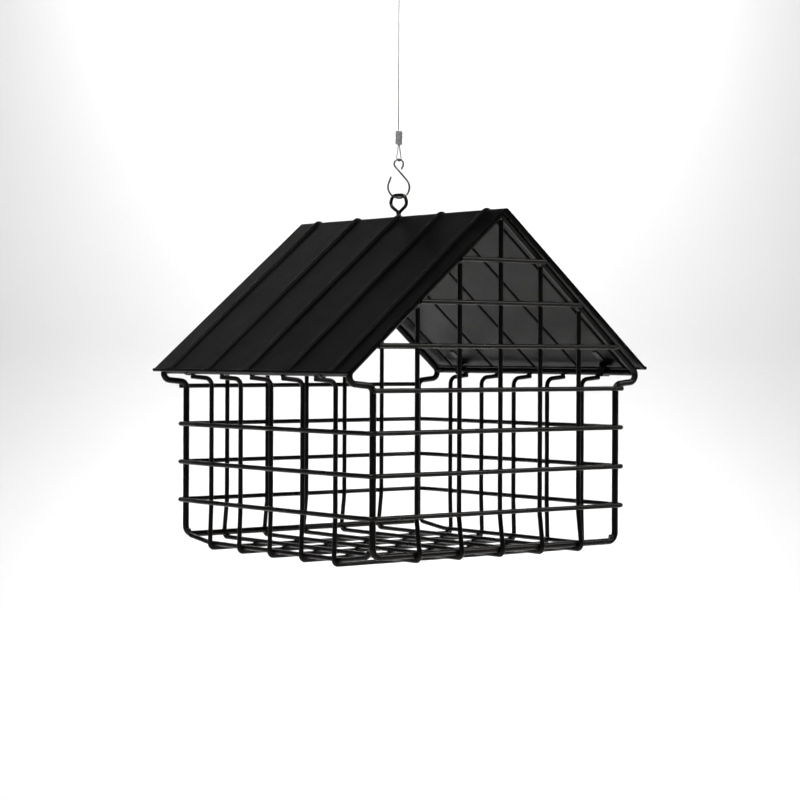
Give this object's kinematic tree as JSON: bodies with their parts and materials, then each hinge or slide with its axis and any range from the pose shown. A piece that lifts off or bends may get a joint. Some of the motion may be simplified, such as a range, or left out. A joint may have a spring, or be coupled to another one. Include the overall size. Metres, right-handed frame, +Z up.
{
  "type": "hanging bird feeder",
  "caption": "House-shaped welded wire bird feeder with a folded ribbed metal roof, hinged along one eave, hung on an S-hook and a steel cable with crimped loops.",
  "frame": {"origin": "inside the top of the upper cable loop, where a hook holds it", "axes": "+Z up, Y along the ridge with the front gable at -Y, X across the gables with the hinged eave at -X"},
  "size_m": [0.2638, 0.233, 0.4303],
  "materials": {
    "black_coat": "satin black powder coat",
    "roof_coat": "satin black powder coat",
    "bright_steel": "drawn wire, lightly polished",
    "ferrule_metal": "pressed satin",
    "cable_steel": "stranded wire"
  },
  "bodies": {
    "cable": {"hanging_cable": "cable_steel", "lower_ferrule": "ferrule_metal", "upper_ferrule": "ferrule_metal", "lower_cable_loop": "cable_steel", "upper_cable_loop": "cable_steel"},
    "hook": {"s_hook": "bright_steel"},
    "roof": {"roof_sheet": "roof_coat", "hinge_ring_front": "black_coat", "hinge_ring_back": "black_coat", "snap_clip_front": "black_coat", "snap_clip_back": "black_coat", "hanging_eye": "black_coat"},
    "cage": {"front_gable_frame": "black_coat", "front_gable_bar_1": "black_coat", "front_gable_bar_2": "black_coat", "front_gable_bar_3": "black_coat", "front_gable_bar_4": "black_coat", "back_gable_frame": "black_coat", "back_gable_bar_1": "black_coat", "back_gable_bar_2": "black_coat", "back_gable_bar_3": "black_coat", "back_gable_bar_4": "black_coat", "lengthwise_wire_1": "black_coat", "lengthwise_wire_2": "black_coat", "lengthwise_wire_3": "black_coat", "lengthwise_wire_4": "black_coat", "lengthwise_wire_5": "black_coat", "crosswise_wire_1": "black_coat", "crosswise_wire_2": "black_coat", "crosswise_wire_3": "black_coat", "crosswise_wire_4": "black_coat", "crosswise_wire_5": "black_coat", "wall_ring_1": "black_coat", "wall_ring_2": "black_coat", "wall_ring_3": "black_coat", "floor_edge_wire_left": "black_coat", "floor_edge_wire_right": "black_coat", "eave_rod_left": "black_coat", "eave_rod_right": "black_coat"}
  },
  "joints": [
    {"name": "hook_swing", "type": "hinge", "parent": "cable", "child": "hook", "pos_m": [0, 0, -0.15335], "axis": [0.9397, 0.342, 0], "range_deg": [-20, 20]},
    {"name": "feeder_swing", "type": "hinge", "parent": "hook", "child": "roof", "pos_m": [0, 0, -0.17955], "axis": [0.866, -0.5, 0], "range_deg": [-20, 20]},
    {"name": "cage_opening", "type": "hinge", "parent": "roof", "child": "cage", "pos_m": [-0.125, 0, -0.3029], "axis": [0, 1, 0], "range_deg": [0, 45]}
  ]
}
